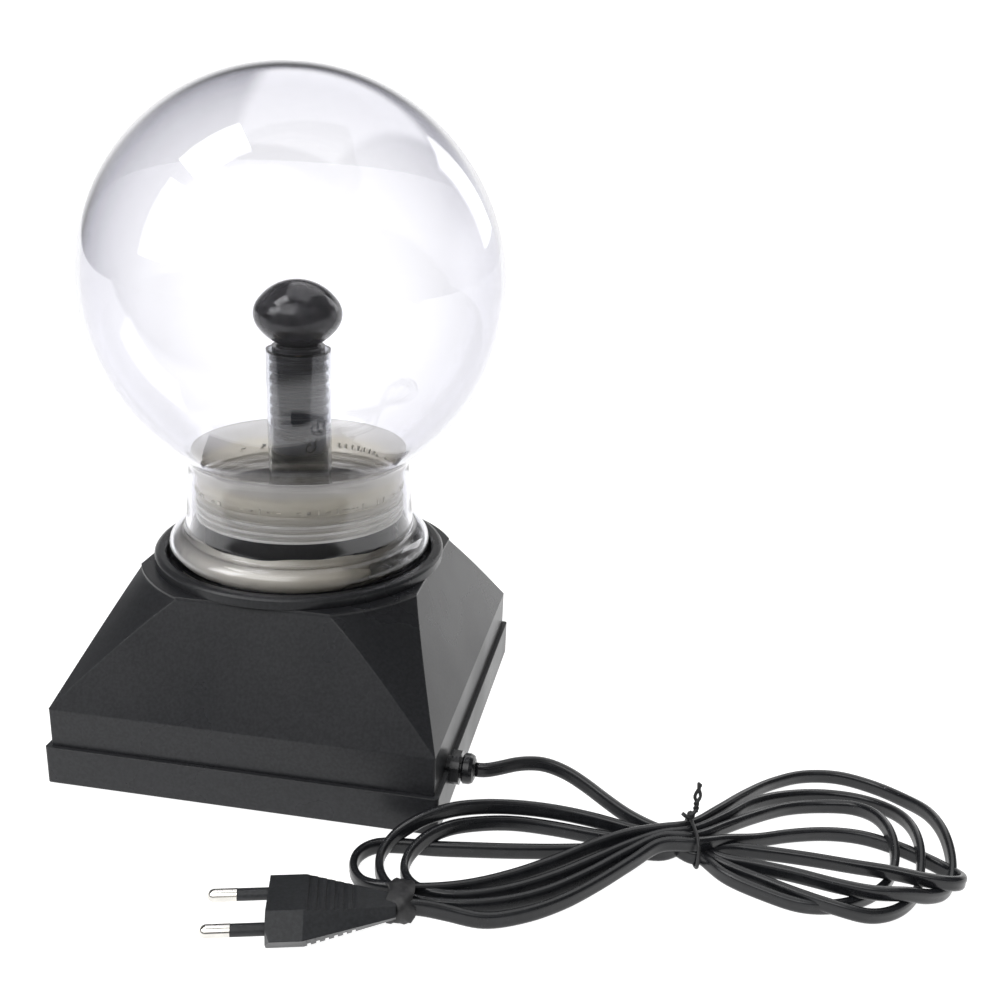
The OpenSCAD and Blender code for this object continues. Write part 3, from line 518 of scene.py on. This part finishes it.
# ---------------------------------------------------------------- insert in the neck, with its embossed marks
cup = [(38.2, 88.1), (38, 89), (37.2, 89.5), (38, 90.1), (38, 91.2), (37.2, 91.8), (38.2, 92.5), (38.2, 94.4),
       (37.5, 95), (38.4, 95.8), (38.4, 97.2), (37.7, 97.9), (38.6, 98.7), (38.8, 104), (39, 108), (39.6, 110.1),
       (40.3, 111.3), (40.1, 111.7), (39.2, 110.9), (38.2, 108.4), (36.4, 103), (35.2, 99.8), (34.6, 99.2),
       (34.4, 98.2), (33.7, 98), (33.4, 97.2), (32.7, 97), (32.4, 95.6), (31.6, 95.2), (31.2, 93.6), (30.2, 93.4),
       (30.2, 88.1)]
lathe("neck_cup", cup, M["insert"], replaces=("neck_insert",), slot="insert_clear", n=144, auto=50)
BLOCK = ((0, 1, 2, 3), (4, 5, 6, 7), (0, 1, 5, 4), (1, 2, 6, 5), (2, 3, 7, 6), (3, 0, 4, 7))  # a block's faces
mv, mf = [], []
for turn_deg in range(-152, 150, 5):
    if rng.random() < 0.25:
        continue
    kind = rng.choice(((0.9, 1.7), (1.6, 0.4), (0.5, 1.9), (1.4, 1.2), (2.2, 0.35)))
    for rr, zz, lift in ((38.4, 99.7, 0.5), (35.9, 101.9, -0.55)):
        a0 = math.radians(turn_deg)
        base = len(mv)
        for q in (0, lift):
            for sx, sz in ((-1, -1), (1, -1), (1, 1), (-1, 1)):
                aa = a0 + sx * kind[0] / 2 / rr
                r2 = rr + q + (sz * kind[1] / 2 * 0.33 if lift < 0 else 0)
                mv.append((r2 * math.cos(aa) * MM, r2 * math.sin(aa) * MM, (zz + sz * kind[1] / 2) * MM))
        mf += [tuple(base + i for i in f) for f in BLOCK]
# three thin pale rings round the insert: painted highlights along its rim lines
for i, rib_z in enumerate((88.5, 91.3, 94.1)):
    lathe(f"cup_rib_highlight_{i + 1}", turn(38.6, rib_z, 0.42, 0, 300, 6), M["ribs"], slot="insert_clear", auto=60)
add("cup_marks", mv, mf, M["marks"], smooth=False, slot="insert_clear")
lathe("seal_smear", turn(BEAD_R, BEAD_Z, 4.1, 0, 342, 20), M["cement"], replaces=("seal_ring",), slot="sealant",
      wave=ragged, arc=(-37, 37), n=90)

# ---------------------------------------------------------------- floor, light
def stage_plane():
    me = bpy.data.meshes.new("floor")
    me.from_pydata([(-4, -4, -0.0003), (4, -4, -0.0003), (4, 4, -0.0003), (-4, 4, -0.0003)], [], [(0, 1, 2, 3)])
    o = bpy.data.objects.new("floor", me)
    scene.collection.objects.link(o)
    m = material("floor_white", (0.35, 0.35, 0.35), 0.8, vary=0.01, scale=5, spec=0.1)
    nt, b = m.node_tree, m.node_tree.nodes["Principled BSDF"]
    tc, sep = [nt.nodes.new("ShaderNode" + t) for t in ("TexCoord", "SeparateXYZ")]
    nt.links.new(tc.outputs["Object"], sep.inputs["Vector"])
    glow = map_range(nt, sep.outputs["Y"], -0.27, -0.19, 0.1, 0.95, smooth=True)
    nt.links.new(glow, b.inputs["Emission Strength"])
    dim = nt.nodes.new("ShaderNodeMath")
    dim.operation = "MULTIPLY"
    dim.inputs[1].default_value = 0.36
    nt.links.new(glow, dim.inputs[0])
    nt.links.new(dim.outputs["Value"], b.inputs["Base Color"])
    b.inputs["Emission Color"].default_value = (1, 1, 1, 1)
    me.materials.append(m)


def studio():
    """White behind the object, dim sides, a soft box overhead and a strong one high behind the camera."""
    world = bpy.data.worlds.new("world")
    scene.world = world
    world.use_nodes = True
    nt = world.node_tree
    bg = nt.nodes["Background"]
    bg.inputs["Color"].default_value = (1, 1, 1, 1)
    tc, sep = nt.nodes.new("ShaderNodeTexCoord"), nt.nodes.new("ShaderNodeSeparateXYZ")
    nt.links.new(tc.outputs["Generated"], sep.inputs["Vector"])

    def band(axis, a, b, to_a, to_b):
        return map_range(nt, sep.outputs[axis], a, b, to_a, to_b, smooth=True)

    def maths(op, x, y):
        m = nt.nodes.new("ShaderNodeMath")
        m.operation = op
        for k, v in enumerate((x, y)):
            if isinstance(v, float):
                m.inputs[k].default_value = v
            else:
                nt.links.new(v, m.inputs[k])
        return m.outputs["Value"]

    behind = maths("MULTIPLY", band("Y", 0.22, 0.55, 0.0, 1.05), band("Z", 0.12, 0.43, 1.0, 0.0))
    behind = maths("MULTIPLY", behind, band("X", -0.85, -0.55, 0.15, 1.0))
    over = maths("MULTIPLY", band("Z", 0.45, 0.6, 0.0, 1.5), band("Y", -0.2, -0.14, 0.0, 1.0))
    middle = maths("MULTIPLY", band("X", -0.42, -0.32, 0.0, 1.0), band("X", 0.32, 0.42, 1.0, 0.0))
    ahead = maths("MULTIPLY", band("Y", -0.5, -0.3, 3.2, 0.0), band("Z", 0.32, 0.5, 0.05, 1.0))
    ahead = maths("MULTIPLY", ahead, band("X", 0.0, 0.3, 1.0, 0.15))
    total = maths("ADD", maths("ADD", behind, maths("MULTIPLY", over, middle)), maths("ADD", ahead, 0.1))
    nt.links.new(total, bg.inputs["Strength"])


stage_plane()
studio()


def area(name, loc, target, size, power, size_y=None):
    """A rectangular lamp at loc that faces target."""
    d = bpy.data.lights.new(name, "AREA")
    d.energy = power
    d.shape = "RECTANGLE"
    d.size, d.size_y = size, size_y or size
    o = bpy.data.objects.new(name, d)
    scene.collection.objects.link(o)
    o.location = loc
    o.rotation_euler = (Vector(target) - Vector(loc)).to_track_quat("-Z", "Y").to_euler()
    return o


area("key", (-0.72, -0.52, 0.6), (0, 0, 0.08), 0.45, 2.6, 0.55)
area("top", (-0.42, -0.2, 0.95), (0, 0, 0.15), 0.3, 2.4, 0.4)
area("side", (0.5, 0.8, 0.5), (0, 0, 0.12), 0.3, 1.2, 0.5)
scene.view_settings.view_transform = "Standard"
